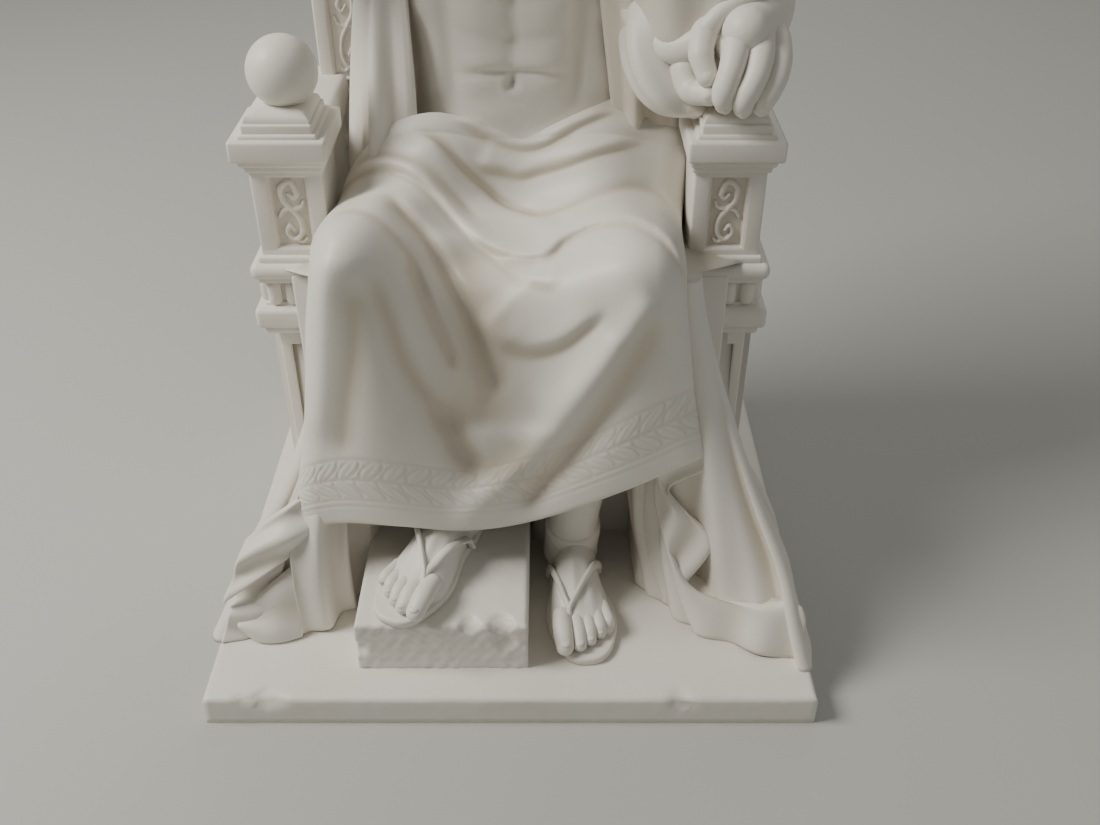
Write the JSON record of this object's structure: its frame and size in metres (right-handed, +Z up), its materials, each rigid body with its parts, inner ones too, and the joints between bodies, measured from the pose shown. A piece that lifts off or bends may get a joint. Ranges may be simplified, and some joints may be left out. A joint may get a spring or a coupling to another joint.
{
  "type": "zeus statue",
  "caption": "Seated bearded god on a classical throne, draped from the waist, one foot on a low block, on a rectangular plinth, in white cast marble",
  "frame": {"origin": "Middle of the plinth's flat underside.", "axes": "+Z up, the viewer and the figure's knees at -Y, +X to the viewer's right."},
  "size_m": [0.174, 0.158, 0.2875],
  "materials": {
    "cast_marble": "satin"
  },
  "bodies": {
    "root": {"zeus_statue": "cast_marble"}
  },
  "joints": []
}
